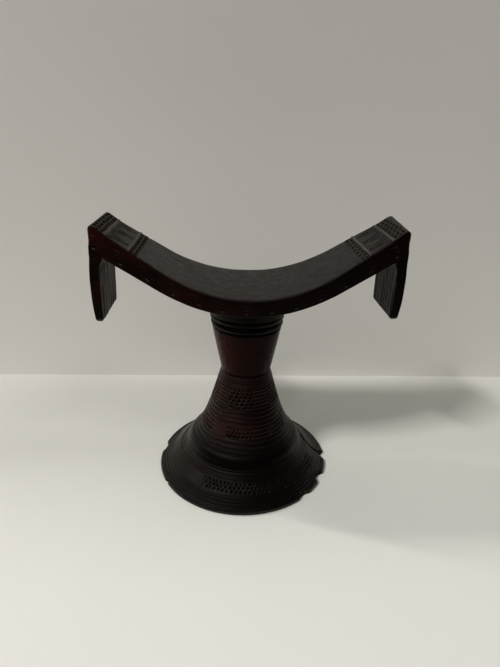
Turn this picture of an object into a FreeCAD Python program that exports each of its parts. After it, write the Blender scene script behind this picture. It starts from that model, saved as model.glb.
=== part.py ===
import FreeCAD, Part  # FreeCAD has to be imported before Part
import math
import os

from FreeCAD import Vector

# A carved wooden headrest: a bowed saddle with a thin lug hanging from each end, on a round
# pillar. The pillar is a ringed collar, a smooth neck that narrows to a waist, a ringed
# bell-shaped stem and a wide flared foot, hollowed underneath. The traditional object is cut
# from one block. Here each carved member is a solid of its own, parted where the carving
# changes, and hidden tenons seat one member in the next.
#
# Millimetres. The origin is the centre of the foot's underside, +Z is up, and the saddle runs
# along X.

# ---- Foot ----
FOOT_RADIUS = 58.0
FOOT_EDGE = 3.0  # height of the rim's upright edge
FOOT_EDGE_ROUND = 0.8
FOOT_TOP = 18.6  # level where the stem stands on the foot
FLANGE_INNER_RADIUS = 38.0
FLANGE_HOLLOW = 1.25  # over 1 the flange is dished, at 1 it is a straight cone
STANDING_RADIUS = 50.0  # inner radius of the flat ring that the foot stands on
DISH_HEIGHT = 7.0

# ---- Stem ----
WAIST_HEIGHT = 73.0
WAIST_RADIUS = 16.0
STEM_TAPER = 0.29  # radius gained per millimetre below the waist
STEM_FLARE = 2.0e-8  # extra radius, times a power of the distance below the waist
STEM_FLARE_POWER = 5
SHOULDER_TOP = 26.0
SHOULDER_RADIUS = 38.2
SHOULDER_BULGE = (37.45, 22.1)  # radius and height of a point on its rounded side

# ---- Neck and collar ----
NECK_TOP = 103.0
NECK_TOP_RADIUS = 22.0
NECK_BULGE = 0.2
COLLAR_RADIUS = 22.4
COLLAR_TAPER = 0.135  # radius gained per millimetre above the neck
COLLAR_TOP = 126.0  # before the saddle's underside trims it

# ---- Saddle ----
SADDLE_LOW_POINT = 129.4  # height of the middle of the upper face
SADDLE_THICKNESS = 9.9
SADDLE_ARC_RADIUS = 95.0
SADDLE_ARM_ANGLE = 32.6  # slope of the arms' upper face, degrees
UNDERSIDE_ARC_RADIUS = 108.0
UNDERSIDE_ARM_ANGLE = 29.0
SADDLE_HALF_LENGTH = 88.7  # at the top corner
SADDLE_HALF_WIDTH = 32.3  # in the middle
PLAN_ARC_RADIUS = 210.0
PLAN_TAPER_ANGLE = 9.0  # how the sides close in towards the ends, degrees
END_SPLAY = 2.5  # the end faces lean out downwards, degrees
END_ROUND = 2.4
SIDE_EDGE_ROUND = 1.2

# ---- Lugs ----
LUG_BOTTOM = {"left_lug": 110.3, "right_lug": 113.6}
LUG_ROOT_THICKNESS = 5.2
LUG_TIP_THICKNESS = 4.8
LUG_TIP_X = 89.6  # the outer face near the tip
LUG_BULGE = 0.8  # how far the outer face stands out from a straight line
LUG_FILLET = 4.0  # in the corner under the saddle
LUG_TIP_HALF_WIDTH = 19.2
LUG_CORNER_ROUND = 3.6
LUG_TRIM = 0.4  # the rounded corners' outline starts this far below the tip

# ---- Tenons and sockets ----
SIDE_GAP = 0.05
END_GAP = 0.3
FOOT_TENON = (20.0, 10.0)  # radius, height
STEM_TENON = (8.0, 12.0)
NECK_TENON_RADIUS = 12.0
NECK_TENON_TOP = 124.0
TONGUE_THICKNESS = 2.0
TONGUE_WIDTH = 28.0
TONGUE_HEIGHT = 5.0

# ---- Rings: (first, last, count, groove depth), as heights on the pillar, radii on the flange
COLLAR_RINGS = (112.2, 103.4, 2, 1.4)
STEM_RINGS = (
    (72.6, 65.1, 5, 0.55),
    (65.1, 52.0, 6, 0.35),
    (52.0, 43.4, 3, 0.65),
    (43.4, 41.2, 1, 0.5),
    (41.2, 34.4, 3, 0.35),
    (34.4, 26.0, 3, 0.6),
)
FLANGE_INNER_RINGS = (38.6, 43.8, 4, 0.45)
FLANGE_OUTER_RINGS = (49.9, 56.4, 4, 0.45)
SEAM_GROOVE = 0.5  # a member's end face stops this far inside its last ring

# ---- Damage at the rim: bites of (azimuth in degrees, width, depth), and a drying split
RIM_CHIPS = (
    (3.0, 8.0, 2.8),
    (-26.0, 10.0, 3.0),
    (-48.0, 9.0, 1.7),
    (-151.5, 4.0, 1.1),
    (171.0, 12.0, 1.8),
)
SPLIT_AZIMUTH = 3.5
SPLIT_INNER_RADIUS = 39.5
SPLIT_WIDTH = (0.3, 0.9)  # at its inner end and at the rim

CLEAR = 10.0  # how far cutting shapes reach past the headrest
HALF_TURN_SHARE = 1 - math.sqrt(0.5)  # where a quarter arc's middle lies, as a share of its radius


# ---------------------------------------------------------------- outlines

def at(radius, height):
    """A point of a turned outline, or of a side view."""
    return Vector(radius, 0, height)


def arc(start, middle, end):
    return Part.Arc(start, middle, end).toShape()


def face_from(edges):
    return Part.Face(Part.Wire(Part.sortEdges(edges)[0]))


def closed_lines(points):
    return [Part.makeLine(a, b) for a, b in zip(points, points[1:] + points[:1])]


def prism(edges, direction):
    """Extrudes a closed outline equally to both sides of where it is drawn."""
    face = face_from(edges)
    face.translate(direction * -0.5)
    return face.extrude(direction)


def turned(pieces):
    """Revolves an outline about Z. pieces holds edges and corners in order; lines join them."""
    edges = []
    start = cursor = None
    for piece in pieces:
        is_corner = isinstance(piece, Vector)
        begin = piece if is_corner else piece.valueAt(piece.FirstParameter)
        if cursor is None:
            start = begin
        elif cursor.distanceToPoint(begin) > 1e-6:
            edges.append(Part.makeLine(cursor, begin))
        if is_corner:
            cursor = piece
        else:
            edges.append(piece)
            cursor = piece.valueAt(piece.LastParameter)
    edges.append(Part.makeLine(cursor, start))
    return Part.Face(Part.Wire(edges)).revolve(Vector(0, 0, 0), Vector(0, 0, 1), 360)


def turned_about_z(solid, azimuth):
    solid.rotate(Vector(0, 0, 0), Vector(0, 0, 1), azimuth)
    return solid


# ---------------------------------------------------------------- turned surfaces and rings

def circle_sag(radius, offset):
    """How far an arc of this radius falls away at this offset from its middle."""
    return radius - math.sqrt(radius**2 - offset**2)


def stem_surface(height):
    below = WAIST_HEIGHT - height
    return at(WAIST_RADIUS + STEM_TAPER * below + STEM_FLARE * below**STEM_FLARE_POWER, height)


def collar_surface(height):
    return at(COLLAR_RADIUS + COLLAR_TAPER * (height - NECK_TOP), height)


def flange_surface(radius):
    inward = (FOOT_RADIUS - radius) / (FOOT_RADIUS - FLANGE_INNER_RADIUS)
    return at(radius, FOOT_EDGE + (FOOT_TOP - FOOT_EDGE) * inward**FLANGE_HOLLOW)


def below_surface(surface, place, onward, depth):
    """A point under a surface. onward is +1 or -1, the way along it towards the rim."""
    along = surface(place + 0.01 * onward) - surface(place)
    along.normalize()
    return surface(place) + at(along.z, -along.x) * depth


def ring_edges(surface, rings):
    """A run of round beads along a surface, with a sharp groove at each end and between them."""
    first, last, count, depth = rings
    pitch = (last - first) / count
    onward = 1 if pitch > 0 else -1
    edges = []
    for i in range(count):
        start = first + i * pitch
        edges.append(arc(
            below_surface(surface, start, onward, depth),
            surface(start + pitch / 2),
            below_surface(surface, start + pitch, onward, depth),
        ))
    return edges


def plain_edge(surface, first, last):
    """A smooth stretch of a surface."""
    return arc(surface(first), surface((first + last) / 2), surface(last))


# ---------------------------------------------------------------- foot

def rim_chip(azimuth, width, depth):
    """An upright cylinder that bites this wide and this deep into the rim."""
    radius = (width**2 / 4 + depth**2) / (2 * depth)
    bite = Part.makeCylinder(radius, FOOT_TOP, Vector(FOOT_RADIUS + radius - depth, 0, -CLEAR))
    return turned_about_z(bite, azimuth)


def drying_split():
    """A thin wedge that opens towards the rim."""
    inner, outer = (width / 2 for width in SPLIT_WIDTH)
    reach = FOOT_RADIUS + CLEAR
    corners = [
        Vector(SPLIT_INNER_RADIUS, -inner, 0),
        Vector(reach, -outer, 0),
        Vector(reach, outer, 0),
        Vector(SPLIT_INNER_RADIUS, inner, 0),
    ]
    return turned_about_z(prism(closed_lines(corners), Vector(0, 0, 2 * FOOT_TOP)), SPLIT_AZIMUTH)


def make_foot():
    tenon_radius, tenon_height = FOOT_TENON
    turn = FOOT_EDGE_ROUND * HALF_TURN_SHARE
    upper_round = arc(
        flange_surface(FLANGE_OUTER_RINGS[1]),
        at(FOOT_RADIUS - turn, FOOT_EDGE - turn),
        at(FOOT_RADIUS, FOOT_EDGE - FOOT_EDGE_ROUND),
    )
    lower_round = arc(
        at(FOOT_RADIUS, FOOT_EDGE_ROUND),
        at(FOOT_RADIUS - turn, turn),
        at(FOOT_RADIUS - FOOT_EDGE_ROUND, 0),
    )
    dish_radius = (STANDING_RADIUS**2 + DISH_HEIGHT**2) / (2 * DISH_HEIGHT)
    dish_middle = STANDING_RADIUS / 2
    dish = arc(
        at(STANDING_RADIUS, 0),
        at(dish_middle, DISH_HEIGHT - circle_sag(dish_radius, dish_middle)),
        at(0, DISH_HEIGHT),
    )
    foot = turned([
        at(0, FOOT_TOP + tenon_height),
        at(tenon_radius, FOOT_TOP + tenon_height),
        at(tenon_radius, FOOT_TOP),
        at(FLANGE_INNER_RADIUS, FOOT_TOP),
        *ring_edges(flange_surface, FLANGE_INNER_RINGS),
        plain_edge(flange_surface, FLANGE_INNER_RINGS[1], FLANGE_OUTER_RINGS[0]),
        *ring_edges(flange_surface, FLANGE_OUTER_RINGS),
        upper_round,
        lower_round,
        dish,
    ])
    for chip in RIM_CHIPS:
        foot = foot.cut(rim_chip(*chip))
    return foot.cut(drying_split())


# ---------------------------------------------------------------- stem, neck and collar

def make_stem():
    tenon_radius, tenon_height = STEM_TENON
    socket_radius, socket_depth = FOOT_TENON
    socket_radius += SIDE_GAP
    socket_depth += END_GAP
    rings = [edge for run in STEM_RINGS for edge in ring_edges(stem_surface, run)]
    return turned([
        at(0, WAIST_HEIGHT + tenon_height),
        at(tenon_radius, WAIST_HEIGHT + tenon_height),
        at(tenon_radius, WAIST_HEIGHT),
        at(WAIST_RADIUS - SEAM_GROOVE, WAIST_HEIGHT),
        *rings,
        arc(stem_surface(SHOULDER_TOP), at(*SHOULDER_BULGE), at(SHOULDER_RADIUS, FOOT_TOP)),
        at(socket_radius, FOOT_TOP),
        at(socket_radius, FOOT_TOP + socket_depth),
        at(0, FOOT_TOP + socket_depth),
    ])


def make_neck():
    socket_radius, socket_depth = STEM_TENON
    socket_radius += SIDE_GAP
    socket_depth += END_GAP
    middle = at((WAIST_RADIUS + NECK_TOP_RADIUS) / 2 + NECK_BULGE, (WAIST_HEIGHT + NECK_TOP) / 2)
    return turned([
        at(0, NECK_TENON_TOP),
        at(NECK_TENON_RADIUS, NECK_TENON_TOP),
        at(NECK_TENON_RADIUS, NECK_TOP),
        arc(at(NECK_TOP_RADIUS, NECK_TOP), middle, at(WAIST_RADIUS, WAIST_HEIGHT)),
        at(socket_radius, WAIST_HEIGHT),
        at(socket_radius, WAIST_HEIGHT + socket_depth),
        at(0, WAIST_HEIGHT + socket_depth),
    ])


def make_collar(saddle):
    bore = NECK_TENON_RADIUS + SIDE_GAP
    ring = turned([
        at(bore, COLLAR_TOP),
        collar_surface(COLLAR_TOP),
        collar_surface(COLLAR_RINGS[0]),
        *ring_edges(collar_surface, COLLAR_RINGS),
        at(COLLAR_RADIUS - SEAM_GROOVE, NECK_TOP),
        at(bore, NECK_TOP),
    ])
    return ring.cut(saddle)


# ---------------------------------------------------------------- saddle and lugs

def bow(radius, angle, x):
    """Rise of a bowed line: an arc in the middle, with straight arms that leave it smoothly."""
    slope = math.radians(angle)
    reach = radius * math.sin(slope)
    return circle_sag(radius, min(abs(x), reach)) + max(abs(x) - reach, 0) * math.tan(slope)


def upper_height(x):
    return SADDLE_LOW_POINT + bow(SADDLE_ARC_RADIUS, SADDLE_ARM_ANGLE, x)


def under_height(x):
    return SADDLE_LOW_POINT - SADDLE_THICKNESS + bow(UNDERSIDE_ARC_RADIUS, UNDERSIDE_ARM_ANGLE, x)


def half_width(x):
    return SADDLE_HALF_WIDTH - bow(PLAN_ARC_RADIUS, PLAN_TAPER_ANGLE, x)


def bowed_edges(point_at, radius, angle, end):
    """The arm, arc and arm of a bowed line that runs from x = -end to x = end."""
    reach = radius * math.sin(math.radians(angle))
    points = [point_at(x) for x in (-end, -reach, 0, reach, end)]
    return [Part.makeLine(*points[:2]), arc(*points[1:4]), Part.makeLine(*points[3:])]


def lower_corner_x():
    """Where the underside's arm meets the leaning end face."""
    lean = math.tan(math.radians(END_SPLAY))
    slope = math.tan(math.radians(UNDERSIDE_ARM_ANGLE))
    drop = upper_height(SADDLE_HALF_LENGTH) - under_height(SADDLE_HALF_LENGTH)
    return SADDLE_HALF_LENGTH + drop * lean / (1 + slope * lean)


def plan_prism():
    """An upright prism with the saddle's outline seen from above."""
    end = SADDLE_HALF_LENGTH + CLEAR
    edges = []
    for side in (1, -1):
        edges += bowed_edges(
            lambda x: Vector(x, side * half_width(x), 0), PLAN_ARC_RADIUS, PLAN_TAPER_ANGLE, end
        )
        edges.append(Part.makeLine(
            Vector(side * end, -half_width(end), 0), Vector(side * end, half_width(end), 0)
        ))
    height = upper_height(SADDLE_HALF_LENGTH) + CLEAR
    return prism(edges, Vector(0, 0, 2 * height))


def saddle_blank(plan):
    """The saddle without its sockets."""
    low_end = lower_corner_x()
    edges = bowed_edges(
        lambda x: at(x, upper_height(x)), SADDLE_ARC_RADIUS, SADDLE_ARM_ANGLE, SADDLE_HALF_LENGTH
    )
    edges += bowed_edges(
        lambda x: at(x, under_height(x)), UNDERSIDE_ARC_RADIUS, UNDERSIDE_ARM_ANGLE, low_end
    )
    for side in (1, -1):
        edges.append(Part.makeLine(
            at(side * SADDLE_HALF_LENGTH, upper_height(SADDLE_HALF_LENGTH)),
            at(side * low_end, under_height(low_end)),
        ))
    blank = prism(edges, Vector(0, 4 * SADDLE_HALF_WIDTH, 0)).common(plan)

    def is_end_crest(edge):
        middle = edge.CenterOfMass
        off_end = abs(abs(middle.x) - SADDLE_HALF_LENGTH)
        off_top = abs(middle.z - upper_height(SADDLE_HALF_LENGTH))
        return abs(middle.y) < 0.1 and off_end < 0.1 and off_top < 0.1

    def is_upper_side_edge(edge):
        middle = edge.CenterOfMass
        mid_height = (upper_height(middle.x) + under_height(middle.x)) / 2
        return edge.BoundBox.XLength > CLEAR and middle.z > mid_height

    blank = blank.makeFillet(END_ROUND, [edge for edge in blank.Edges if is_end_crest(edge)])
    return blank.makeFillet(
        SIDE_EDGE_ROUND, [edge for edge in blank.Edges if is_upper_side_edge(edge)]
    )


def tongue(side, side_gap, end_gap):
    """The slip of wood that stands up from a lug into the saddle, or with gaps its slot."""
    middle_x = lower_corner_x() - LUG_ROOT_THICKNESS / 2
    root = under_height(middle_x)
    thickness = TONGUE_THICKNESS + 2 * side_gap
    width = TONGUE_WIDTH + 2 * side_gap
    below = LUG_ROOT_THICKNESS
    height = below + TONGUE_HEIGHT + end_gap
    corner = Vector(side * middle_x - thickness / 2, -width / 2, root - below)
    return Part.makeBox(thickness, width, height, corner)


def lug_side_view(side, bottom):
    """Closed outline of a lug seen along Y. It is worked out at +X, and side -1 flips it."""
    outer_root = lower_corner_x()
    root = at(outer_root, under_height(outer_root))
    tip_round = LUG_TIP_THICKNESS / 2
    outer_tip = at(LUG_TIP_X, bottom + tip_round)
    bulge = (root + outer_tip) * 0.5 + at(LUG_BULGE, 0)
    lowest = at(LUG_TIP_X - tip_round, bottom)
    inner_tip = at(LUG_TIP_X - LUG_TIP_THICKNESS, bottom + tip_round)

    inner_root = outer_root - LUG_ROOT_THICKNESS
    corner = at(inner_root, under_height(inner_root))
    down_lug = (inner_tip - corner).normalize()
    slope = math.radians(UNDERSIDE_ARM_ANGLE)
    down_arm = at(-math.cos(slope), -math.sin(slope))
    half_angle = down_lug.getAngle(down_arm) / 2
    reach = LUG_FILLET / math.tan(half_angle)
    hollow = (down_lug + down_arm).normalize() * (LUG_FILLET / math.sin(half_angle) - LUG_FILLET)
    on_lug = corner + down_lug * reach
    on_arm = corner + down_arm * reach

    def flipped(*points):
        return [at(side * point.x, point.z) for point in points]

    return [
        arc(*flipped(root, bulge, outer_tip)),
        arc(*flipped(outer_tip, lowest, inner_tip)),
        Part.makeLine(*flipped(inner_tip, on_lug)),
        arc(*flipped(on_lug, corner + hollow, on_arm)),
        Part.makeLine(*flipped(on_arm, root)),
    ]


def lug_end_view(bottom):
    """Closed outline of a lug seen along X. It passes over and under the side view, which trims it."""
    wide = SADDLE_HALF_WIDTH
    narrow = LUG_TIP_HALF_WIDTH
    root_half_width = half_width(lower_corner_x() - LUG_ROOT_THICKNESS)
    root = under_height(lower_corner_x())
    low = bottom - LUG_TRIM
    corner = LUG_CORNER_ROUND
    turn = corner * HALF_TURN_SHARE
    edges = [
        Part.makeLine(Vector(0, corner - narrow, low), Vector(0, narrow - corner, low)),
        Part.makeLine(Vector(0, -wide, root + CLEAR), Vector(0, wide, root + CLEAR)),
    ]
    for side in (1, -1):
        above_corner = Vector(0, side * narrow, low + corner)
        at_root = Vector(0, side * root_half_width, root - CLEAR)
        top = Vector(0, side * wide, root + CLEAR)
        edges.append(arc(
            Vector(0, side * (narrow - corner), low),
            Vector(0, side * (narrow - turn), low + turn),
            above_corner,
        ))
        edges.append(Part.makeLine(above_corner, at_root))
        edges.append(Part.makeLine(at_root, top))
    return edges


def make_lug(side, bottom, plan):
    """A lug is what its side view, its end view and the saddle's plan have in common."""
    slab = prism(lug_side_view(side, bottom), Vector(0, 4 * SADDLE_HALF_WIDTH, 0))
    outline = prism(lug_end_view(bottom), Vector(4 * SADDLE_HALF_LENGTH, 0, 0))
    lug = slab.common(outline).common(plan)
    return lug.fuse(tongue(side, 0, 0)).removeSplitter()


# ---------------------------------------------------------------- the headrest

def make_members():
    plan = plan_prism()
    blank = saddle_blank(plan)
    socket = Part.makeCylinder(NECK_TENON_RADIUS + SIDE_GAP, NECK_TENON_TOP + END_GAP)
    slots = [tongue(side, SIDE_GAP, END_GAP) for side in (-1, 1)]
    return {
        "saddle": blank.cut([socket, *slots]),
        "left_lug": make_lug(-1, LUG_BOTTOM["left_lug"], plan),
        "right_lug": make_lug(1, LUG_BOTTOM["right_lug"], plan),
        "collar": make_collar(blank),
        "neck": make_neck(),
        "stem": make_stem(),
        "foot": make_foot(),
    }


os.makedirs("parts", exist_ok=True)
for name, member in make_members().items():
    if len(member.Solids) != 1 or not member.isValid():
        raise RuntimeError(f"{name} is not one sound solid")
    member.Solids[0].exportStep(f"parts/{name}.step")
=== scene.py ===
import math

import bmesh
import bpy
import numpy as np
from mathutils import Matrix, Vector
from mathutils.bvhtree import BVHTree


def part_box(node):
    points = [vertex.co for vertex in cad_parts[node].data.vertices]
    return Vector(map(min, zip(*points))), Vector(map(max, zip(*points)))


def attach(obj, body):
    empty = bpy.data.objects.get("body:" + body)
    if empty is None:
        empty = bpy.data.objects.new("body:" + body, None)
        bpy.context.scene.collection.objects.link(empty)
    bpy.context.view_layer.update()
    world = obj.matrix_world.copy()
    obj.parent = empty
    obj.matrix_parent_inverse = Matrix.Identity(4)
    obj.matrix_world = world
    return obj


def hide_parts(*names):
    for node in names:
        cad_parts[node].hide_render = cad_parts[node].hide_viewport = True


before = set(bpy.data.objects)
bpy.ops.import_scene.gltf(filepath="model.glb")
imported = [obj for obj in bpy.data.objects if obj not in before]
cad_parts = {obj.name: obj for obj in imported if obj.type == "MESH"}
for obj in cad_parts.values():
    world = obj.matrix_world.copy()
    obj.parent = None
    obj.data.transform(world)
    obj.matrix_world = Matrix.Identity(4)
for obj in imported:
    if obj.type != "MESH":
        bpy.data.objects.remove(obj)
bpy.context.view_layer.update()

# The carved wooden headrest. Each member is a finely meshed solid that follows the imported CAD
# member, which is probed for its outline, and the carving is cut into the mesh itself.
# Lengths are in millimetres until a mesh is made, angles in degrees. X runs along the saddle,
# -Y is the front and Z is up; azimuths turn about Z from +X.

MM = 0.001
FAR = 300.0  # probes start this far out

TOUCH = 0.03  # probes keep this clear of a member's corners
PROBE_AZIMUTH = 90.7  # turned members are probed here, away from the chips and the split

# ---- Carving on the saddle's top, as distances from the middle along X ----
CARVED_FROM = 58.0  # the mesh is finer from here outwards
THIN_LINE = 61.9
RIDGES = (67.3, 79.9)  # raised lines either side of the V cuts
INNER_ROWS = (63.4, 65.7)
OUTER_ROWS = (81.7, 83.8, 85.9)
INNER_ROW_COUNT = {-1: 10, 1: 8}  # slits in each row, at the left and the right end
OUTER_ROW_COUNT = 7
INNER_SLIT = (0.95, 0.28, 1.0)  # half length, half width as a share of a step, and depth
OUTER_SLIT = (0.85, 0.31, 1.0)
WEDGES = (68.4, 78.9)  # where the V cuts start and end
WEDGE_COUNT = 3
ORNAMENT_MARGIN = 0.95  # share of the half width that the carving covers
LIP_HEIGHT = 0.32  # of the burr pushed up round each slit

rng = np.random.default_rng(11)
LATTICE_SIZE = 64
LATTICE = rng.uniform(-1, 1, (LATTICE_SIZE,) * 3)  # the values that noise runs between


# ---------------------------------------------------------------- probing the CAD members

def tree_of(node):
    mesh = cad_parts[node].data
    points = [vertex.co.copy() for vertex in mesh.vertices]
    return BVHTree.FromPolygons(points, [tuple(face.vertices) for face in mesh.polygons])


def probe(tree, start, direction):
    """Where a ray from a point in millimetres meets a member."""
    hit = tree.ray_cast(Vector(start) * MM, Vector(direction))[0]
    if hit is None:
        raise RuntimeError(f"no surface from {start} along {direction}")
    return np.array(hit) / MM


def low(node):
    return np.array(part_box(node)[0]) / MM


def high(node):
    return np.array(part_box(node)[1]) / MM


def heading(azimuth):
    """The level direction at an azimuth in degrees."""
    return np.array([math.cos(math.radians(azimuth)), math.sin(math.radians(azimuth)), 0])


def side_radii(tree, heights, azimuth=PROBE_AZIMUTH):
    """A turned member's outline, probed sideways at each height."""
    out = heading(azimuth)
    found = [probe(tree, out * FAR + [0, 0, z], -out) for z in heights]
    return np.array([[math.hypot(p[0], p[1]), z] for p, z in zip(found, heights)])


def face_heights(tree, radii, downward):
    """A turned member's outline, probed from above or from below at each radius."""
    out = heading(PROBE_AZIMUTH)
    sense = -1 if downward else 1
    start = [0, 0, -sense * FAR]
    return np.array([[r, probe(tree, out * r + start, (0, 0, sense))[2]] for r in radii])


def deepened(outline, reach, gain):
    """Deepens a ringed outline's grooves by the gain. Half a bead spans reach samples."""
    radii = outline[:, 0]
    kernel = np.ones(2 * reach + 1) / (2 * reach + 1)
    trend = np.convolve(np.pad(radii, reach, mode="edge"), kernel, mode="valid")
    ripple = np.pad(radii - trend, reach, mode="edge")
    crest = np.array([ripple[i:i + 2 * reach + 1].max() for i in range(len(radii))])
    groove = crest - (radii - trend)
    return np.stack([radii - (gain - 1) * groove, outline[:, 1]], axis=1)


# ---------------------------------------------------------------- noise and small cuts

def noise(points, size):
    """A smooth random field between -1 and 1. size is its grain along X, Y and Z."""
    spot = points / np.array(size)
    base = np.floor(spot).astype(int)
    share = spot - base
    share = share * share * (3 - 2 * share)
    total = np.zeros(len(points))
    for corner in np.ndindex(2, 2, 2):
        weight = np.prod(np.where(corner, share, 1 - share), axis=1)
        index = (base + corner) % LATTICE_SIZE
        total += weight * LATTICE[index[:, 0], index[:, 1], index[:, 2]]
    return total


def v_cut(offset, half_width, depth):
    return depth * np.clip(1 - np.abs(offset) / half_width, 0, 1)


def scoop(along, across, half_length, half_width, depth):
    """A small boat-shaped cut."""
    return depth * np.sqrt(np.clip(1 - (along / half_length) ** 2 - (across / half_width) ** 2, 0, 1))


def smooth_step(value, start, end):
    share = np.clip((value - start) / (end - start), 0, 1)
    return share * share * (3 - 2 * share)


def window(value, start, end, start_reach, end_reach):
    """1 between start and end and 0 past them. The reaches say how softly it comes and goes."""
    return smooth_step(value, start, start + start_reach) * smooth_step(-value, -end, end_reach - end)


# ---------------------------------------------------------------- meshes

def turned_mesh(outline, turns):
    """Points and faces of an outline of radius and height, listed downwards, turned about Z."""
    angles = np.arange(turns) * 2 * math.pi / turns
    radii = outline[:, 0:1]
    points = np.stack([
        radii * np.cos(angles), radii * np.sin(angles), np.repeat(outline[:, 1:2], turns, axis=1)
    ], axis=2)
    index = np.arange(len(outline) * turns).reshape(len(outline), turns)
    beside = np.roll(index, -1, axis=1)
    quads = np.stack([index[:-1], index[1:], beside[1:], beside[:-1]], axis=2).reshape(-1, 4)
    faces = quads.tolist() + [index[0].tolist(), index[-1][::-1].tolist()]
    return points.reshape(-1, 3), faces


def sheet(points):
    """Quads over a grid of points of shape (rows, columns, 3)."""
    rows, columns = points.shape[:2]
    index = np.arange(rows * columns).reshape(rows, columns)
    quads = np.stack([index[:-1, :-1], index[1:, :-1], index[1:, 1:], index[:-1, 1:]], axis=2)
    return points.reshape(-1, 3), quads.reshape(-1, 4)


def shell(lattice):
    """The closed skin, as points and faces, of a block of points of shape (a, b, c, 3)."""
    bm = bmesh.new()
    sides = (
        lattice[:, 0], lattice[:, -1], lattice[:, :, 0], lattice[:, :, -1], lattice[0], lattice[-1]
    )
    for grid in sides:
        points, quads = sheet(grid)
        vertices = [bm.verts.new(point) for point in points]
        for quad in quads:
            bm.faces.new([vertices[i] for i in quad])
    bmesh.ops.remove_doubles(bm, verts=bm.verts, dist=1e-4)
    bmesh.ops.recalc_face_normals(bm, faces=bm.faces)
    bm.verts.index_update()
    points = np.array([vertex.co for vertex in bm.verts])
    faces = [[vertex.index for vertex in face.verts] for face in bm.faces]
    bm.free()
    return points, faces


def widened(x, z, half_width, columns):
    """Spreads a grid of places in the XZ plane across Y, to each place's half width."""
    across = np.linspace(-1, 1, columns + 1)
    layers = np.broadcast_arrays(x[..., None], half_width[..., None] * across, z[..., None])
    return np.stack(layers, axis=-1)


def worn(points, faces, passes, share):
    """Rounds every edge over, by moving points towards their neighbours' middle."""
    quads = np.array(faces)
    pairs = np.concatenate([quads[:, [i, (i + 1) % 4]] for i in range(4)])
    first = np.concatenate([pairs[:, 0], pairs[:, 1]])
    second = np.concatenate([pairs[:, 1], pairs[:, 0]])
    count = np.bincount(first, minlength=len(points))[:, None]
    for _ in range(passes):
        total = np.stack([
            np.bincount(first, weights=points[second, axis], minlength=len(points))
            for axis in range(3)
        ], axis=1)
        points = points + share[:, None] * (total / count - points)
    return points


CUT_DEPTH = "cut_depth"  # kept at each point, in millimetres, for the woods to read: deep cuts darken and raised burrs get a painted highlight


def mesh_object(name, points, faces, material):
    """A plain mesh object in the scene, from points in millimetres."""
    mesh = bpy.data.meshes.new(name)
    mesh.from_pydata(points * MM, [], faces)
    mesh.materials.append(material)
    made = bpy.data.objects.new(name, mesh)
    bpy.context.scene.collection.objects.link(made)
    return made


def make_piece(name, points, faces, carve, material):
    """A carved member. carve gives how deep to cut at each point, along its normal."""
    piece = mesh_object(name, points, faces, material)
    mesh = piece.data
    normals = np.empty(len(points) * 3)
    mesh.vertex_normals.foreach_get("vector", normals)
    normals = normals.reshape(-1, 3)
    depth = carve(points, normals)
    mesh.attributes.new(CUT_DEPTH, "FLOAT", "POINT").data.foreach_set("value", depth)
    mesh.vertices.foreach_set("co", ((points - normals * depth[:, None]) * MM).ravel())
    mesh.polygons.foreach_set("use_smooth", np.ones(len(faces), bool))
    mesh.update()
    return piece


def stands_for(piece, node):
    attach(piece, "root")
    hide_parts(node)


# ---------------------------------------------------------------- node materials

class Graph:
    """A node tree, with short calls for the nodes used most. place says where a point is."""

    def __init__(self, tree, place):
        self.tree = tree
        self.place = self.node("ShaderNodeTexCoord").outputs[place]

    def put(self, value, socket):
        """Links a socket, or sets a plain value."""
        if isinstance(value, bpy.types.NodeSocket):
            self.tree.links.new(value, socket)
        else:
            socket.default_value = value

    def node(self, kind, inputs=(), **settings):
        """Makes a node. inputs says what goes into its sockets, by name or number."""
        made = self.tree.nodes.new(kind)
        for key, value in settings.items():
            setattr(made, key, value)
        for key, value in dict(inputs).items():
            self.put(value, made.inputs[key])
        return made

    def noise(self, size, detail=4.0, roughness=0.55, distortion=0.0):
        """Noise whose grain is size millimetres along X, Y and Z."""
        scale = [1 / (MM * s) for s in size]
        mapping = self.node("ShaderNodeMapping", {"Vector": self.place, "Scale": scale})
        texture = self.node("ShaderNodeTexNoise", {
            "Vector": mapping.outputs["Vector"], "Scale": 1.0,
            "Detail": detail, "Roughness": roughness, "Distortion": distortion,
        })
        return texture.outputs["Fac"]

    def spread(self, value, low_in, high_in, low_out=0.0, high_out=1.0, curve="LINEAR"):
        """Maps a range of a value onto another, held at its ends."""
        made = self.node("ShaderNodeMapRange", {
            "Value": value, "From Min": low_in, "From Max": high_in,
            "To Min": low_out, "To Max": high_out,
        }, interpolation_type=curve)
        return made.outputs["Result"]

    def maths(self, operation, first, second=0.0):
        made = self.node("ShaderNodeMath", {0: first, 1: second}, operation=operation)
        return made.outputs["Value"]

    def axis(self, vector, name):
        """One coordinate of a vector."""
        return self.node("ShaderNodeSeparateXYZ", {0: vector}).outputs[name]

    def mixed(self, share, first, second):
        inputs = {"Factor": share, "A": first, "B": second}
        return self.node("ShaderNodeMix", inputs, data_type="RGBA").outputs["Result"]

    def bump(self, height, strength, distance, below=None):
        made = self.node("ShaderNodeBump", {
            "Strength": strength, "Distance": distance * MM, "Height": height,
        })
        if below is not None:
            self.put(below, made.inputs["Normal"])
        return made.outputs["Normal"]

    def camera_ray(self):
        return self.node("ShaderNodeLightPath").outputs["Is Camera Ray"]


SHADER_INPUTS = {
    "base": "Base Color", "roughness": "Roughness", "gloss": "Specular IOR Level", "normal": "Normal",
}


class Surface(Graph):
    """A material's node tree."""

    def __init__(self, name):
        self.material = bpy.data.materials.new(name)
        self.material.use_nodes = True
        super().__init__(self.material.node_tree, "Object")
        self.shader = self.tree.nodes["Principled BSDF"]

    def finish(self, **values):
        """Sets the shader's inputs, by their short names, and returns the material."""
        for key, value in values.items():
            self.put(value, self.shader.inputs[SHADER_INPUTS[key]])
        return self.material


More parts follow.
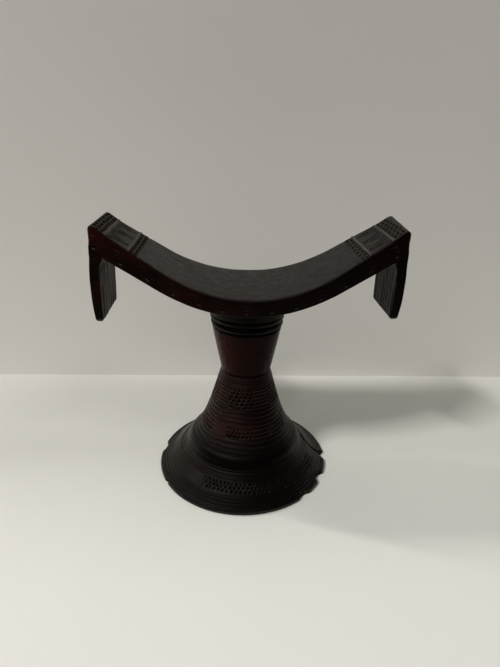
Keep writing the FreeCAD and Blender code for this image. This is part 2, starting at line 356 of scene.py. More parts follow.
def colour(red, green, blue):
    return (red, green, blue, 1.0)


BLACK_BROWN = colour(0.0040, 0.0028, 0.0022)
DEEP_RED = colour(0.050, 0.0095, 0.0062)
NECK_RED = colour(0.080, 0.0095, 0.0085)
WEAR_AND_HIGHLIGHT = colour(0.066, 0.059, 0.050)  # worn raised edges, and a painted highlight on the burrs round the cuts
STREAK = colour(0.001, 0.0006, 0.0005)
CUT_BLACK = colour(0.0012, 0.0009, 0.0008)  # soot and oil in the cuts
RED_FADE = 10.0  # the red cast comes in over this height
DULL_BELOW = 20.0  # a wood with less gloss low down has it below this height
BRIGHT_ABOVE = 30.0


def wood(name, red, red_share, roughness, worn_share, gloss=0.42, grain=(30, 1.1, 1.1),
         relief=0.25, red_from=0.0, red_right_painted_shade=0.22, low_gloss=1.0):
    """Dark oiled wood: black-brown with a red cast in patches, fine grain, worn edges, and a painted
    highlight on the raised burrs.

    red_share is the cast's least and most strength and red_from the height where it starts. Along X
    the cast is painted light and shade: fullest at the left end, where the light falls, and cut back
    towards the right, as painted shade, to the share given for the right. low_gloss is the share of
    gloss that is left low down.
    """
    surface = Surface(name)
    patches = surface.noise((26, 20, 20), detail=3.0)
    grain_lines = surface.noise(grain, detail=5.0, roughness=0.65, distortion=0.3)
    pores = surface.noise((4.0, 0.28, 0.28), detail=3.0)
    grime = surface.noise((6, 5, 5), detail=6.0, roughness=0.7)
    scratches = surface.noise((0.5, 2.6, 2.6), detail=4.0, roughness=0.6)
    edges = surface.node("ShaderNodeNewGeometry").outputs["Pointiness"]

    low_share, high_share = red_share
    redness = surface.spread(patches, 0.36, 0.64, low_share, high_share)
    facing_up = surface.axis(surface.node("ShaderNodeNewGeometry").outputs["Normal"], "Z")
    across = surface.axis(surface.place, "X")
    height = surface.axis(surface.place, "Z")
    # The second fade is painted light: the red is fullest at the left end, where the light falls, and
    # cut back towards the right as painted shade.
    fades = (
        surface.spread(facing_up, 0.3, 0.75, 1.0, 0.1),
        surface.spread(across, -85 * MM, 10 * MM, 1.0, red_right_painted_shade),
        surface.spread(height, red_from * MM, (red_from + RED_FADE) * MM),
    )
    for fade in fades:
        redness = surface.maths("MULTIPLY", redness, fade)
    base = surface.mixed(redness, BLACK_BROWN, red)
    streaks = surface.spread(grain_lines, 0.35, 0.7, 0.0, 0.6)
    base = surface.mixed(streaks, base, surface.mixed(0.45, base, STREAK))
    wear = surface.spread(edges, 0.52, 0.60, 0.0, 1.0)
    wear = surface.maths("MULTIPLY", wear, surface.spread(grime, 0.36, 0.60, 0.0, worn_share))
    base = surface.mixed(wear, base, WEAR_AND_HIGHLIGHT)
    cut = surface.node("ShaderNodeAttribute", attribute_name=CUT_DEPTH).outputs["Fac"]
    # Raised burrs round the cuts are painted lighter: partly wear, partly a painted highlight where
    # they catch the light.
    clean = surface.spread(grime, 0.3, 0.6, 0.3, 1.0)
    burr_wear_and_highlight = surface.maths("MULTIPLY", surface.spread(cut, -0.12, -0.45), clean)
    base = surface.mixed(burr_wear_and_highlight, base, WEAR_AND_HIGHLIGHT)
    base = surface.mixed(surface.spread(cut, 0.3, 0.8, 0.0, 0.8), base, CUT_BLACK)

    rough = surface.spread(grime, 0.3, 0.7, roughness - 0.07, roughness + 0.09)
    rough = surface.maths("ADD", rough, surface.spread(pores, 0.55, 0.75, 0.0, 0.12))
    shine = surface.spread(height, DULL_BELOW * MM, BRIGHT_ABOVE * MM, gloss * low_gloss, gloss)
    normal = surface.bump(grain_lines, relief, 0.12)
    normal = surface.bump(pores, relief, 0.06, normal)
    normal = surface.bump(scratches, 0.16, 0.08, normal)
    return surface.finish(base=base, roughness=rough, gloss=shine, normal=normal)


saddle_wood = wood("saddle_wood", DEEP_RED, (0.15, 1.0), 0.42, 1.0, relief=0.05)
lug_wood = wood("lug_wood", DEEP_RED, (0.0, 0.45), 0.46, 0.8, gloss=0.28, grain=(1.1, 1.1, 30))
ring_wood = wood("ring_wood", DEEP_RED, (0.25, 0.9), 0.35, 0.7,
                 red_from=26, red_right_painted_shade=0.7, low_gloss=0.55)
# A darker, duller copy of the ringed wood with less red: painted shade where the collar sits under
# the saddle.
collar_wood_painted_shade = wood("collar_wood_painted_shade", DEEP_RED, (0.0, 0.3), 0.42, 0.5, gloss=0.24)
neck_wood = wood("neck_wood", NECK_RED, (0.6, 1.0), 0.27, 0.0, gloss=0.11, relief=0.05)
foot_wood = wood("foot_wood", DEEP_RED, (0.0, 0.4), 0.36, 0.9)


def broken_wood():
    """Bare wood in the rim's chips: lighter, dry and fibrous."""
    surface = Surface("broken_wood")
    fibres = surface.noise((9, 0.8, 0.8), detail=6.0, roughness=0.7)
    dirt = surface.noise((3, 3, 3), detail=5.0, roughness=0.7)
    base = surface.mixed(
        surface.spread(fibres, 0.3, 0.7), colour(0.020, 0.012, 0.008), colour(0.11, 0.078, 0.055)
    )
    base = surface.mixed(surface.spread(dirt, 0.40, 0.56), base, colour(0.006, 0.004, 0.003))
    return surface.finish(base=base, roughness=0.8, normal=surface.bump(fibres, 0.8, 0.4))


def split_wood():
    """The dark dry faces inside the drying split."""
    surface = Surface("split_wood")
    fibres = surface.noise((9, 0.8, 0.8), detail=5.0)
    base = surface.mixed(fibres, colour(0.002, 0.0015, 0.001), colour(0.008, 0.005, 0.004))
    return surface.finish(base=base, roughness=0.9, gloss=0.1, normal=surface.bump(fibres, 0.6, 0.3))


# ---------------------------------------------------------------- the turned members

def azimuths(points):
    return np.degrees(np.arctan2(points[:, 1], points[:, 0]))


def hand_cut(points):
    """The unevenness of a surface finished by hand."""
    return 0.10 * noise(points, (14, 14, 14)) + 0.05 * noise(points + 40, (4.5, 4.5, 4.5))


RING_WANDER = 0.22
COLLAR_WANDER = 0.25


def wander(points):
    """Rings cut by eye: every ring wanders a little along the surface."""
    return noise(points + 90, (17, 17, 6)) + 0.5 * noise(points + 7, (6, 6, 3))


NOTCH_BAND = (65.1, 52.0, 6)  # top, bottom and number of beads
GOUGE_BAND = (41.2, 34.4, 3)
NOTCH_PITCH = 9.0
NOTCH_DEPTH = 1.3
NOTCH_BURR = 0.5
GOUGE_PITCH = 5.4
NOTCH_PANEL = 72.0  # degrees from one panel to the next
GOUGE_PANEL = 60.0
PANEL_AZIMUTH = -100.0  # the middle of the front panel
PANEL_SHARE = 0.62  # how much of each panel's pitch is cut
CELL_DRIFT = (1.3, 1.7, 1.9)  # grain, in cells, of the noise that tells small cuts apart


def row_place(height, band):
    """Which bead of a band a height is on, and how far from its middle, as a share of the bead."""
    top, bottom, count = band
    along = (top - height) / (top - bottom) * count
    row = np.floor(along)
    inside = (along >= 0) & (along < count)
    return row, along - row - 0.5, inside


def notch_cuts(points, band, pitch, panel, shift):
    """Panels of uneven small cuts across the beads, each with a burr on its lower side."""
    row, off_middle, inside = row_place(points[:, 2], band)
    along = (azimuths(points) + shift * row) / pitch
    column = np.floor(along)
    drift = noise(np.stack([column, row * 3, column * 0 + shift], axis=1), CELL_DRIFT)
    slot_place = along - column - 0.5 - 0.2 * drift
    size = np.clip(1.0 + 1.1 * drift, 0, 1.25)
    off_panel = np.abs(np.mod(azimuths(points) - PANEL_AZIMUTH + panel / 2, panel) - panel / 2)
    inside &= off_panel < panel * PANEL_SHARE / 2
    cut = scoop(off_middle + 0.05, slot_place, 0.40, 0.33, NOTCH_DEPTH) * size
    burr = scoop(off_middle - 0.42, slot_place, 0.18, 0.30, NOTCH_BURR)
    return np.where(inside, cut - burr * np.clip(0.5 + 1.5 * drift, 0, 1), 0)


FILLET = 0.8  # the shoulder runs into the flange without a sharp corner
FILLET_REACH = 3.0


def fading(distance, reach):
    """1 at no distance, falling off in a curve to 0 at reach."""
    return np.clip(1 - distance / reach, 0, 1) ** 2


def make_stem():
    top = low("neck")[2]
    bottom = low("stem")[2]
    heights = np.linspace(top - TOUCH, bottom + TOUCH, 206)
    outline = deepened(side_radii(tree_of("stem"), heights), reach=6, gain=1.7)
    outline[0, 1] = top
    outline[-1, 1] = bottom
    outline[:, 0] += FILLET * fading(outline[:, 1] - bottom, FILLET_REACH)
    points, faces = turned_mesh(outline, turns=430)

    def carve(points, normals):
        depth = hand_cut(points)
        depth += notch_cuts(points, NOTCH_BAND, NOTCH_PITCH, NOTCH_PANEL, 3.0)
        depth += notch_cuts(points, GOUGE_BAND, GOUGE_PITCH, GOUGE_PANEL, 2.7)
        return depth

    points[:, 2] += RING_WANDER * wander(points) * window(points[:, 2], bottom, top, 6, 3)
    return make_piece("stem_carved", points, faces, carve, ring_wood)


def make_neck():
    bottom = low("neck")[2]
    top = low("collar")[2]
    heights = np.linspace(top - TOUCH, bottom + TOUCH, 90)
    outline = side_radii(tree_of("neck"), heights)
    outline[0, 1] = top
    outline[-1, 1] = bottom
    points, faces = turned_mesh(outline, turns=300)

    def carve(points, normals):
        facets = 0.16 * noise(points, (7, 7, 26)) + 0.07 * noise(points + 30, (2.6, 2.6, 14))
        return facets * smooth_step(points[:, 2], bottom, bottom + 3)

    return make_piece("neck_polished", points, faces, carve, neck_wood)


def make_collar():
    bottom = low("collar")[2]
    top = high("collar")[2]
    heights = np.linspace(top - 0.3, bottom + TOUCH, 150)
    outline = side_radii(tree_of("collar"), heights, azimuth=0.7)
    outline[-1, 1] = bottom
    flare = outline[:1] + [[0.3, 2.0]]
    outline = np.concatenate([flare, outline])
    points, faces = turned_mesh(outline, turns=320)
    points[:, 2] += COLLAR_WANDER * wander(points) * window(points[:, 2], bottom, top, 3, 4)

    def carve(points, normals):
        return hand_cut(points) * smooth_step(-points[:, 2], -top, 2 - top)

    return make_piece("collar_ringed", points, faces, carve, collar_wood_painted_shade)


DOT_BAND = (43.8, 49.5)  # radii of the flange's band of small cuts
DOT_ROWS = 3
DOT_PITCH = 3.4
DOT_SPAN = (-136.0, -10.0)  # the front's azimuths, the only ones with these cuts
DOT_DEPTH = 1.0
BURR_HEIGHT = 0.55


def dot_cuts(points):
    """Rows of small three-sided cuts on the flange, each with a burr on its outer side."""
    radius = np.hypot(points[:, 0], points[:, 1]) + 0.25 * noise(points + 71, (4, 4, 4))
    inner, outer = DOT_BAND
    along = (radius - inner) / (outer - inner) * DOT_ROWS
    row = np.floor(along)
    off_middle = along - row - 0.5
    angle = azimuths(points) + row * DOT_PITCH / 2
    column = np.floor(angle / DOT_PITCH)
    drift = noise(np.stack([column, row * 3, column * 0], axis=1), CELL_DRIFT)
    place = angle / DOT_PITCH - column - 0.5 - 0.15 * drift
    taper = np.clip(0.5 + off_middle, 0, 1)
    cut = np.clip(1 - np.abs(place) / (0.08 + 0.34 * taper), 0, 1)
    cut *= np.clip(3 * (0.40 - np.abs(off_middle)) / 0.40, 0, 1) * (1 + 0.6 * drift)
    burr = scoop(off_middle - 0.44, place, 0.2, 0.3, 1.0) * np.clip(0.4 + 1.5 * drift, 0, 1)
    inside = (along >= 0) & (along < DOT_ROWS) & (points[:, 2] > 2.5)
    ends = window(azimuths(points), *DOT_SPAN, 20, 12)
    return np.where(inside, DOT_DEPTH * cut - BURR_HEIGHT * burr, 0) * ends


OVAL = 0.8  # how far the rim is out of round
OVAL_AZIMUTH = -125.0  # where it is widest


def oval(points):
    """The flange is not quite round towards its rim."""
    radius = np.hypot(points[..., 0], points[..., 1])
    turn = np.arctan2(points[..., 1], points[..., 0]) - math.radians(OVAL_AZIMUTH)
    stretch = OVAL * np.cos(2 * turn) * smooth_step(radius, 40, 56)
    moved = points.copy()
    moved[..., :2] *= (1 + stretch / radius)[..., None]
    return moved


EDGE_TOP = 2.2  # the rim's edge is upright up to here


def make_foot():
    tree = tree_of("foot")
    rim = high("foot")[1]
    seat = low("stem")[2]
    shoulder = side_radii(tree_of("stem"), [seat + TOUCH])[0, 0]
    upper = face_heights(tree, np.linspace(shoulder + 0.4, rim - 0.62, 104), True)
    upper[:, 1] += FILLET * fading(upper[:, 0] - shoulder - FILLET, FILLET_REACH)
    upper[:, 1] = np.minimum(upper[:, 1], seat)
    edge = side_radii(tree, np.linspace(EDGE_TOP + 0.05, 0.35, 9))
    lower = face_heights(tree, np.linspace(rim - 0.45, 2, 34), False)
    outline = np.concatenate([[[30, seat], [shoulder, seat]], upper, edge, lower])
    points, faces = turned_mesh(outline, turns=600)
    radius = np.hypot(points[:, 0], points[:, 1])
    fade = window(radius, 38, rim - 1, 4, 4) * (points[:, 2] > EDGE_TOP + 0.2)
    points[:, :2] *= (1 + RING_WANDER * wander(points) * fade / radius)[:, None]
    points = oval(points)

    def carve(points, normals):
        radius = np.hypot(points[:, 0], points[:, 1])
        depth = hand_cut(points) * smooth_step(radius, 37, 42) * smooth_step(points[:, 2], 0.2, 1.5)
        depth += dot_cuts(points)
        return depth

    return make_piece("foot_flared", points, faces, carve, foot_wood)


# ---------------------------------------------------------------- the saddle

CLEAR_Y = 17.5  # probes at this Y pass beside the sockets


def under(tree, x):
    """The height of the saddle's underside."""
    return probe(tree, (x, CLEAR_Y, -FAR), (0, 0, 1))[2]


def saddle_top(tree):
    """The saddle's top face, as X and height, from the middle to the edge of the right end."""
    end = high("saddle")[0]
    xs = np.arange(0, end, 0.1)
    heights = np.array([probe(tree, (x, CLEAR_Y, FAR), (0, 0, -1))[2] for x in xs])
    slopes = np.gradient(heights, xs)
    last = np.argmax((xs > end / 2) & (slopes < -0.5))
    if last == 0:
        last = len(xs) - 1
    return xs[: last + 1], heights[: last + 1]


END_LIFT = 1.2  # the hand-cut ends rise a little past the CAD saddle's rounded ones
END_LEAN = 3.4  # how much further out the right end is at the back
END_DEPTH = 50.0  # the skew fades out this far below the top


def askew(points):
    """The right end, with its lug, is cut a little askew."""
    top = high("saddle")[2]
    width = high("saddle")[1]
    skew = np.clip(0.5 + 0.62 * points[:, 1] / width, 0, 1)
    lean = END_LEAN * skew * smooth_step(points[:, 0], 68, 90)
    lean *= smooth_step(points[:, 2], top - END_DEPTH, top)
    moved = points.copy()
    moved[:, 0] += lean
    moved[:, 2] += 0.5 * lean
    return moved


def make_saddle():
    tree = tree_of("saddle")
    top_x, top_z = saddle_top(tree)
    edge_x, edge_z = top_x[-1], top_z[-1]

    # the lower corner, where the underside's line meets the end
    near_z = under(tree, edge_x - 1)
    slope = near_z - under(tree, edge_x - 2)
    corner_z = near_z + slope
    for _ in range(4):
        corner_x = probe(tree, (FAR, CLEAR_Y, corner_z + TOUCH), (-1, 0, 0))[0]
        corner_z = near_z + slope * (corner_x - edge_x + 1)

    rows = 24
    row_share = np.linspace(0, 1, rows + 1)
    end_z = edge_z + (corner_z - edge_z) * row_share
    levels = np.clip(end_z, corner_z + TOUCH, edge_z - 0.02)
    end_x = np.array([probe(tree, (FAR, CLEAR_Y, z), (-1, 0, 0))[0] for z in levels])
    end_x[0], end_x[-1] = edge_x, corner_x
    straight_x = edge_x + (corner_x - edge_x) * row_share
    bulge = end_x - straight_x

    # stations along the saddle, closer together where it is carved
    fine = np.linspace(CARVED_FROM, edge_x, 96)
    coarse = np.linspace(0, CARVED_FROM, 72)[:-1]
    half = np.concatenate([coarse, fine])
    stations = np.concatenate([-half[:0:-1], half])
    size = np.abs(stations)

    width_x = np.linspace(0, end_x.max() - 0.3, 90)
    middle_x = np.minimum(width_x, edge_x)
    middle = [(np.interp(x, top_x, top_z) + under(tree, x)) / 2 for x in middle_x]
    widths = [probe(tree, (x, FAR, z), (0, -1, 0))[1] for x, z in zip(width_x, middle)]

    under_x = size * corner_x / edge_x
    probes = np.minimum(under_x, corner_x - 0.2)
    under_z = np.array([under(tree, x) for x in probes])
    under_z += slope * (under_x - probes)
    over_z = np.interp(size, top_x, top_z)

    # the lattice holds station i at row k, from the top face down to the underside
    side = np.sign(stations)
    pull = smooth_step(size, edge_x - 4, edge_x)
    lattice_x = size[:, None] + (under_x - size)[:, None] * row_share + pull[:, None] * bulge
    lattice_z = over_z[:, None] + (under_z - over_z)[:, None] * row_share
    half_widths = np.interp(lattice_x, width_x, widths)
    lattice_x = lattice_x * side[:, None]

    points, faces = shell(widened(lattice_x, lattice_z, half_widths, 112))

    def side_share(points):
        """0 on the underside, 1 on the top."""
        bottom = np.interp(np.abs(points[:, 0]), under_x[side >= 0], under_z[side >= 0])
        top = np.interp(np.abs(points[:, 0]), top_x, top_z)
        return (points[:, 2] - bottom) / (top - bottom)

    rub = 0.55 + 0.3 * noise(points, (11, 11, 11))
    from_corner = np.hypot(np.abs(points[:, 0]) - corner_x, points[:, 2] - corner_z)
    above = smooth_step(side_share(points), 0.25, 0.55)
    rub *= 0.12 + 0.88 * above
    rub *= smooth_step(from_corner, 4.0, 7.0)
    rub *= 1 - 0.8 * smooth_step(np.abs(points[:, 0]), 76, 86)
    points = worn(points, faces, 26, rub)

    upper = smooth_step(side_share(points), 0.45, 1.0)
    lift = END_LIFT * smooth_step(np.abs(points[:, 0]), 78, 89) * upper
    points = askew(points)
    points[:, 0] += 0.25 * lift * np.sign(points[:, 0])
    points[:, 2] += lift

    def carve(points, normals):
        depth = hand_cut(points)
        on_top = smooth_step(normals[:, 2], 0.55, 0.75)
        share = points[:, 1] / np.interp(np.abs(points[:, 0]), width_x, widths)
        depth += on_top * top_cuts(points, share)
        on_side = smooth_step(np.abs(normals[:, 1]), 0.6, 0.85)
        depth += on_side * side_cuts(points, side_share(points))
        return depth

    return make_piece("saddle_carved", points, faces, carve, saddle_wood)


def overlaid(first, second):
    """Two carvings on one face: a cut wins over a raised lip."""
    lips = np.where(second > 0, second, np.minimum(first, second))
    return np.where(first > 0, np.maximum(first, second), lips)


def slit_row(size, share, middle, count, shift, slit):
    """A row of slits across the saddle, with raised lips. shift moves it by a share of one step."""
    half_length, half_width, depth = slit
    step = 2 * ORNAMENT_MARGIN / count
    place = (share + ORNAMENT_MARGIN) / step + shift
    off = place - np.floor(place) - 0.5
    cut = scoop(size - middle, off, half_length, half_width, depth)
    lip = scoop(size - middle, off, half_length + 0.45, half_width * 1.5, LIP_HEIGHT)
    return np.where(np.abs(share) < ORNAMENT_MARGIN, np.where(cut > 0, cut, -lip), 0)


def wedge_cuts(size, share):
    """V shapes that open outwards, each with a shorter one inside it."""
    start, end = WEDGES
    reach = (size - start) / (end - start)
    inside = (reach > 0) & (reach < 1) & (np.abs(share) < ORNAMENT_MARGIN)
    step = 2 * ORNAMENT_MARGIN / WEDGE_COUNT
    place = np.abs(np.mod(share + ORNAMENT_MARGIN, step) - step / 2)
    depth = np.zeros(len(size))
    for first, spread in ((0.0, 0.43), (0.34, 0.17)):
        opening = np.clip((reach - first) / (1 - first), 0, 1)
        line = place - spread * step * opening
        cut = v_cut(line, 0.014 + 0.020 * opening, 0.75) * (opening > 0)
        depth = np.maximum(depth, np.where(inside, cut, 0))
    return depth


def top_cuts(points, share):
    """All the carving at the saddle's ends. share is the place across, from -1 to 1."""
    size = np.abs(points[:, 0]) + 0.35 * noise(points + 21, (9, 5, 9))
    share = share + 0.02 * noise(points + 57, (5, 7, 5))
    depth = v_cut(size - THIN_LINE, 0.6, 0.5)
    for side, count in INNER_ROW_COUNT.items():
        here = np.sign(points[:, 0]) == side
        for i, middle in enumerate(INNER_ROWS):
            cut = slit_row(size, share, middle, count, 0.5 * i, INNER_SLIT)
            depth = overlaid(depth, np.where(here, cut, 0))
    for i, middle in enumerate(OUTER_ROWS):
        cut = slit_row(size, share, middle, OUTER_ROW_COUNT, 0.5 * i, OUTER_SLIT)
        depth = overlaid(depth, cut)
    depth = overlaid(depth, wedge_cuts(size, share))
    for place in RIDGES:
        depth -= v_cut(size - place, 0.7, 0.6)
    return depth


DASH_PITCH = 14.0
DASH_START = 2.0
DASHES = ((0.64, -0.9), (0.34, 0.9))  # a pair's heights, as shares of the side, and shifts along X
SIDE_HEIGHT = 9.9


def side_cuts(points, share):
    """Pairs of short dashes along the saddle's sides, one over the other, with raised lips."""
    x = points[:, 0] + DASH_START
    pair = np.round(x / DASH_PITCH)
    depth = np.zeros(len(points))
    for level, shift in DASHES:
        drift = noise(np.stack([pair, pair + 9 * level, pair], axis=1), (1.7, 1.3, 1.9))
        along = x - pair * DASH_PITCH - shift - 1.2 * drift
        height = (share - level) * SIDE_HEIGHT - 0.5 * drift
        tilt = (0.25 * drift - 0.05) * np.sign(points[:, 0])
        height = height - tilt * along
        depth = np.maximum(depth, scoop(along, height, 1.9, 0.6, 0.8))
        lip = scoop(along + 0.4, height + 0.95, 1.3, 0.42, 0.5)
        depth = np.where(depth > 0, depth, -lip)
    return depth


# ---------------------------------------------------------------- the lugs

LUG_ROWS = 110
LUG_LAYERS = 14
LAP_ROWS = 14  # a lug's skin runs on over the saddle's end and sinks into it
LAP_HEIGHT = 6.0
LAP_SINK = 2.5
TIP_ROUND = 1.2  # the lug's tip is round up to here
OFF_MIDDLE = 0.3  # probes pass this far beside the middle plane
EDGE_NOTCH_REACH = 17.0  # how far down the lug's edges are notched
EDGE_NOTCH_PITCH = 8.0
EDGE_NOTCH_INSET = 2.6  # from the lug's outer face


def resampled(line):
    """The same line, as points at even steps."""
    step = np.concatenate([[0], np.cumsum(np.hypot(*np.diff(line, axis=0).T))])
    wanted = np.linspace(0, step[-1], LUG_ROWS + 1)
    return np.stack([np.interp(wanted, step, line[:, i]) for i in range(2)], axis=1)


def lug_faces(tree, seat, side, tip, root_z):
    """A lug's outer and inner faces, as X and height, from the tip up to the saddle.

    seat gives the height of the saddle's underside.
    """
    def face_x(z, start, sense):
        return abs(probe(tree, (side * start, OFF_MIDDLE, z), (side * sense, 0, 0))[0])

    outer_z = np.linspace(tip + TIP_ROUND, root_z, 120)
    outer = np.array([[face_x(min(z, root_z - 0.4), FAR, -1), z] for z in outer_z])
    inner = []
    for z in np.arange(tip + TIP_ROUND, root_z, 0.12):
        x = face_x(z, 40.0, 1)
        if seat(x) < z + 0.05:
            break
        inner.append([x, z])
    return resampled(outer), resampled(np.array(inner))


def lapped(outer, inner, saddle_tree, seat, side, root_z):
    """Runs both faces on over the saddle's end. The third result says how deep they sink."""
    lap = np.linspace(0, 1, LAP_ROWS + 1)[1:]
    lap_z = root_z + LAP_HEIGHT * lap
    lap_x = [abs(probe(saddle_tree, (side * FAR, CLEAR_Y, z), (-side, 0, 0))[0]) for z in lap_z]
    outer = np.concatenate([outer, np.stack([lap_x, lap_z], axis=1)])
    lap_x = inner[-1, 0] - LAP_SINK * lap
    lap_z = np.array([seat(x) for x in lap_x]) + LAP_SINK * lap
    inner = np.concatenate([inner, np.stack([lap_x, lap_z], axis=1)])
    sink = np.concatenate([np.zeros(LUG_ROWS + 1), 0.5 * smooth_step(lap, 0.35, 1) - 0.03])
    outer[:, 0] -= sink
    return outer, inner, sink


def lug_cuts(points, normals, side, root_z, outer):
    """Tool marks on the lug's faces and pairs of notches along its edges."""
    depth = hand_cut(points)
    flat = smooth_step(np.abs(normals[:, 0]), 0.6, 0.85)
    depth += flat * (0.28 * noise(points, (6, 2.2, 30)) + 0.14 * noise(points + 33, (3, 0.9, 16)))
    depth *= smooth_step(-points[:, 2], -root_z, 4 - root_z)
    on_side = smooth_step(np.abs(normals[:, 1]), 0.6, 0.85)
    drop = root_z - points[:, 2]
    level = np.mod(drop, EDGE_NOTCH_PITCH) - EDGE_NOTCH_PITCH / 2
    outer_face = np.interp(points[:, 2], outer[:, 1], outer[:, 0])
    along = points[:, 0] * side - outer_face + EDGE_NOTCH_INSET
    for offset in (-1.0, 1.0):
        cut = scoop(along, level - offset, 1.5, 0.5, 0.5)
        depth += on_side * cut * (drop < EDGE_NOTCH_REACH) * (drop > 1)
    return depth


def make_lug(node, side):
    tree = tree_of(node)
    saddle_tree = tree_of("saddle")
    tip = low(node)[2]
    outer_x = high(node)[0] if side > 0 else -low(node)[0]
    root_x = high("saddle")[0]

    def seat(x):
        return under(saddle_tree, side * min(x, root_x - 0.5))

    root_z = 2 * seat(root_x - 0.5) - seat(root_x - 1)
    outer, inner = lug_faces(tree, seat, side, tip, root_z)
    outer, inner, sink = lapped(outer, inner, saddle_tree, seat, side, root_z)
    share = np.linspace(0, 1, LUG_LAYERS + 1)
    lattice = inner[:, None, :] + (outer - inner)[:, None, :] * share[None, :, None]
    tip_x = lattice[0, :, 0]
    lattice[0, :, 1] = [probe(tree, (side * x, OFF_MIDDLE, -FAR), (0, 0, 1))[2] for x in tip_x]

    def width_at(x, z):
        z = min(max(z, tip + 0.02), root_z - 0.6)
        return probe(tree, (side * min(x, outer_x - 0.6), FAR, z), (0, -1, 0))[1]

    middle = lattice[:, LUG_LAYERS // 2]
    heights = np.linspace(tip + 0.02, inner[LUG_ROWS, 1] - 0.1, 160)
    middle_x = np.interp(heights, middle[:, 1], middle[:, 0])
    widths = [width_at(x, z) for x, z in zip(middle_x, heights)]
    half_widths = np.interp(lattice[..., 1], heights, widths)

    # near the saddle the lug takes on the saddle's width
    plan_x = np.linspace(70, root_x - 0.4, 30)
    plan = [probe(saddle_tree, (side * x, FAR, seat(x) + 2), (0, -1, 0))[1] for x in plan_x]
    by_plan = np.interp(lattice[..., 0], plan_x, plan)
    near_root = smooth_step(lattice[..., 1], inner[LUG_ROWS, 1] - 6, inner[LUG_ROWS, 1])
    half_widths += near_root * (by_plan - half_widths) - sink[:, None]

    points, faces = shell(widened(side * lattice[..., 0], lattice[..., 1], half_widths, 110))
    rub = 0.4 + 0.2 * noise(points, (9, 9, 9))
    rub *= smooth_step(-points[:, 2], 1 - root_z, 5 - root_z)
    points = askew(worn(points, faces, 12, rub))

    def carve(points, normals):
        return lug_cuts(points, normals, side, root_z, outer)

    return make_piece(node + "_carved", points, faces, carve, lug_wood)


# ---------------------------------------------------------------- chips and the split in the rim

CHIP_STEP = 0.25  # degrees between probes round the rim
CHIP_DEEPEST = 4.5  # a deeper place is the split
CHIP_SPREAD = 1.25  # broken edges reach further out than the CAD rim's plain chips
PAST_RIM = 4.0  # the cutting shapes reach this far past the rim
SPLIT_SWEEP = 18.0  # degrees that the split curls round the shoulder at its inner end
SPLIT_SHIFT = -5.0  # degrees; the split and its chip lie nearer the front than in the CAD
SPLIT_CHIP_REACH = 5.0  # degrees; a chip this near the split goes with it
SPLIT_DROP = 0.5  # the flange's face falls this far where the split starts


def rim_probes():
    """The rim's radius all the way round, where it is whole, chipped or split."""
    tree = tree_of("foot")
    turns = np.arange(0, 360, CHIP_STEP)
    radii = []
    for turn in turns:
        out = heading(turn)
        hit = probe(tree, out * FAR + [0, 0, 1.5], -out)
        radii.append(math.hypot(hit[0], hit[1]))
    return turns, np.array(radii)


def around(radius, angle, level):
    """Points at each radius, angle in radians and height."""
    return np.stack([radius * np.cos(angle), radius * np.sin(angle), level], axis=2)


def chip_cutter(index, turns, radii, rim, material):
    """Follows a chip that the CAD rim has, with a broken, splintered face."""
    middle = (turns[0] + turns[-1]) / 2
    turns = middle + (turns - middle) * CHIP_SPREAD
    radii = rim - (rim - radii) * CHIP_SPREAD
    angles = np.radians(np.interp(np.linspace(0, 1, 60), np.linspace(0, 1, len(turns)), turns))
    reach = np.interp(angles, np.radians(turns), radii)
    levels = np.linspace(-1.5, 8.0, 26)
    angle, level = np.meshgrid(angles, levels, indexing="ij")
    radius = np.repeat(reach[:, None], len(levels), axis=1)
    depth = np.clip(rim - radius, 0, None) / max(rim - radii.min(), 0.5)
    flat = around(radius, angle, level).reshape(-1, 3)
    rough = noise(flat, (2.6, 2.6, 1.1)) + 0.6 * noise(flat + 17, (1.0, 1.0, 0.6))
    radius = radius + depth * (0.55 * rough.reshape(radius.shape) - 0.28 * (level - 1.5))
    inner = around(radius, angle, level)
    outer = around(np.full_like(radius, rim + PAST_RIM), angle, level)
    return mesh_object(f"chip_{index}", *shell(oval(np.stack([inner, outer]))), material)


def split_cutter(turn, start, rim, material):
    """A thin crooked wedge, open towards the rim."""
    lengths = np.linspace(start - 1.0, rim + PAST_RIM, 60)
    levels = np.linspace(-2, 24, 22)
    length, level = np.meshgrid(lengths, levels, indexing="ij")
    share = (length - start) / (rim - start)
    spot = np.stack([length, level, level * 0], axis=2).reshape(-1, 3)
    bend = 0.7 * noise(spot, (7, 30, 1)) + 0.35 * noise(spot + 5, (2.2, 6, 1))
    bend = bend.reshape(length.shape) * np.clip(share * 3, 0, 1)
    half = 0.06 + (0.7 + 0.3 * np.clip(share, 0, 1.1)) * np.clip(share * 12, 0, 1)
    angle = np.radians(turn + SPLIT_SWEEP * np.clip(1 - share, 0, 1) ** 8)
    path = around(length, angle, level)
    forward = np.gradient(path[..., :2], axis=0)
    forward /= np.linalg.norm(forward, axis=2, keepdims=True)
    sides = []
    for sign in (-1, 1):
        across = bend + sign * half
        x = path[..., 0] - across * forward[..., 1]
        y = path[..., 1] + across * forward[..., 0]
        sides.append(np.stack([x, y, level], axis=2))
    return mesh_object("split", *shell(np.stack(sides)), material)


def split_start_at(turn):
    """How far out the split starts: where the flange's face first drops away."""
    tree = tree_of("foot")
    radii = np.arange(high("stem")[0] + 0.5, high("foot")[0] - 1, 0.25)
    for radius, height in face_heights(tree, radii, True):
        above = heading(turn) * radius + [0, 0, FAR]
        hit = tree.ray_cast(Vector(above) * MM, Vector((0, 0, -1)))[0]
        if hit is None or hit[2] / MM < height - SPLIT_DROP:
            return radius
    return high("foot")[0]


